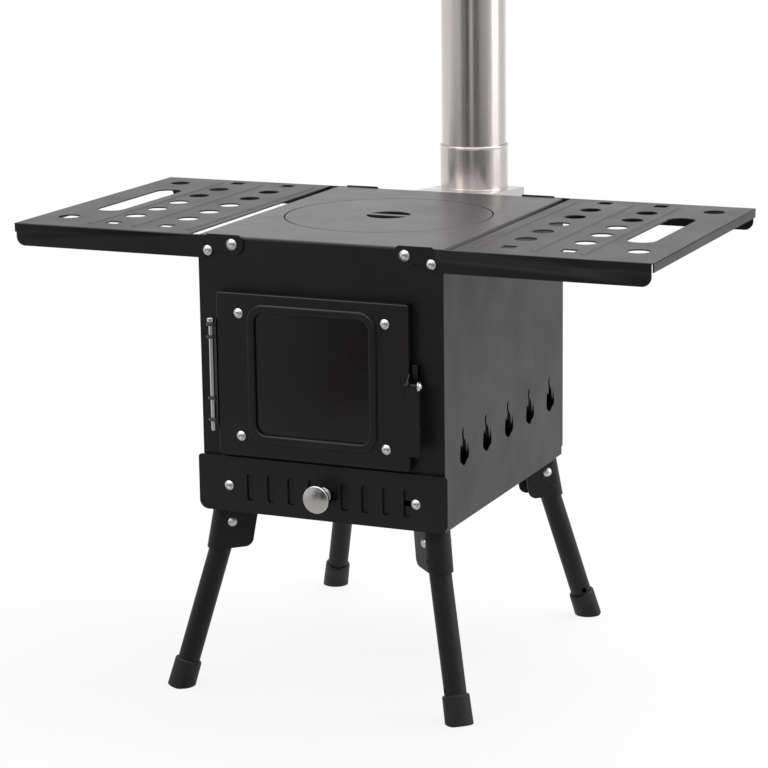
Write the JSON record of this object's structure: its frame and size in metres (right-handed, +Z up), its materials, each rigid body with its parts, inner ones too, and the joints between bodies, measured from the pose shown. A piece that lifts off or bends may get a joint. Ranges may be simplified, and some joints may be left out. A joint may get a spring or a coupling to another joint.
{
  "type": "tent wood stove",
  "caption": "Sheet-steel wood stove on folding splayed legs, with glass door, air damper, lift-out cooktop lid, fold-up side shelves and rear flue",
  "frame": {"origin": "on the ground, at the middle of the whole stove's box, shelves and flue included", "axes": "+Z up along the chimney, -Y the front with the door, +X to the right of someone facing the door from in front"},
  "size_m": [0.582, 0.4116, 0.7347],
  "materials": {
    "black_enamel": "satin heat-resistant black coating",
    "cooktop_steel": "satin dark grey coating",
    "raw_steel": "bare heat-darkened sheet",
    "stainless_sheet": "bright drawn stainless",
    "plated_fittings": "bright",
    "fire_glass": "amber-tinted glass ceramic",
    "rope_gasket": "knitted glass fibre rope",
    "foot_rubber": "matt"
  },
  "bodies": {
    "stove": {"front_panel": "black_enamel", "left_side_panel": "black_enamel", "right_side_panel": "black_enamel", "left_liner": "raw_steel", "right_liner": "raw_steel", "rear_panel": "black_enamel", "firebox_floor": "black_enamel", "top_plate": "cooktop_steel", "lid_seat_ring": "black_enamel", "fire_grate": "raw_steel", "air_inlet_cover": "black_enamel", "cover_screws": "plated_fittings", "hinge_bracket": "plated_fittings", "hinge_pin": "plated_fittings", "latch_keeper": "black_enamel", "shelf_pivot_screws": "plated_fittings", "shelf_pivot_washers": "plated_fittings", "shelf_stop_screws": "plated_fittings", "flue_box": "stainless_sheet", "flue_screws": "plated_fittings", "flue_collar": "stainless_sheet", "leg_pivot_rivets": "plated_fittings", "front_left_leg_bracket": "black_enamel", "front_right_leg_bracket": "black_enamel", "rear_left_leg_bracket": "black_enamel", "rear_right_leg_bracket": "black_enamel"},
    "lid": {"cooktop_lid": "cooktop_steel", "lid_finger_cup": "black_enamel"},
    "chimney": {"chimney_pipe": "stainless_sheet"},
    "door": {"door_panel": "black_enamel", "door_hinge_leaf": "plated_fittings", "door_glass": "fire_glass", "glass_retainer": "black_enamel", "door_gasket": "rope_gasket", "door_screws": "plated_fittings", "latch_bracket": "black_enamel", "latch_screw": "plated_fittings"},
    "latch": {"latch_handle": "black_enamel"},
    "damper": {"air_damper": "black_enamel", "damper_knob": "plated_fittings"},
    "left_side_shelf": {"left_shelf": "black_enamel"},
    "right_side_shelf": {"right_shelf": "black_enamel"},
    "front_left_leg": {"front_left_leg_tube": "black_enamel", "front_left_foot": "foot_rubber"},
    "front_right_leg": {"front_right_leg_tube": "black_enamel", "front_right_foot": "foot_rubber"},
    "rear_left_leg": {"rear_left_leg_tube": "black_enamel", "rear_left_foot": "foot_rubber"},
    "rear_right_leg": {"rear_right_leg_tube": "black_enamel", "rear_right_foot": "foot_rubber"}
  },
  "joints": [
    {"name": "door_hinge", "type": "hinge", "parent": "stove", "child": "door", "pos_m": [-0.0976, -0.18274, 0.28], "axis": [0, 0, -1], "range_deg": [0, 110]},
    {"name": "latch_pivot", "type": "hinge", "parent": "door", "child": "latch", "pos_m": [0.09, -0.18735, 0.2834], "axis": [-1, 0, 0], "range_deg": [0, 90]},
    {"name": "damper_slide", "type": "slide", "parent": "stove", "child": "damper", "axis": [1, 0, 0], "range_m": [0, 0.0096]},
    {"name": "lid_lift", "type": "slide", "parent": "stove", "child": "lid", "axis": [0, 0, 1], "range_m": [0, 0.03]},
    {"name": "chimney_lift", "type": "slide", "parent": "stove", "child": "chimney", "axis": [0, 0, 1], "range_m": [0, 0.06]},
    {"name": "left_shelf_fold", "type": "hinge", "parent": "stove", "child": "left_side_shelf", "pos_m": [-0.0789, -0.03374, 0.3894], "axis": [0, 1, 0], "range_deg": [0, 100]},
    {"name": "right_shelf_fold", "type": "hinge", "parent": "stove", "child": "right_side_shelf", "pos_m": [0.0789, -0.03374, 0.3894], "axis": [0, -1, 0], "range_deg": [0, 100]},
    {"name": "front_left_leg_fold", "type": "hinge", "parent": "stove", "child": "front_left_leg", "pos_m": [-0.0975, -0.16025, 0.1448], "axis": [0.7071, -0.7071, 0], "range_deg": [0, 108]},
    {"name": "front_right_leg_fold", "type": "hinge", "parent": "stove", "child": "front_right_leg", "pos_m": [0.0975, -0.16025, 0.1448], "axis": [0.7071, 0.7071, 0], "range_deg": [0, 94]},
    {"name": "rear_left_leg_fold", "type": "hinge", "parent": "stove", "child": "rear_left_leg", "pos_m": [-0.0975, 0.09276, 0.1448], "axis": [-0.7071, -0.7071, 0], "range_deg": [0, 94]},
    {"name": "rear_right_leg_fold", "type": "hinge", "parent": "stove", "child": "rear_right_leg", "pos_m": [0.0975, 0.09276, 0.1448], "axis": [-0.7071, 0.7071, 0], "range_deg": [0, 108]}
  ]
}
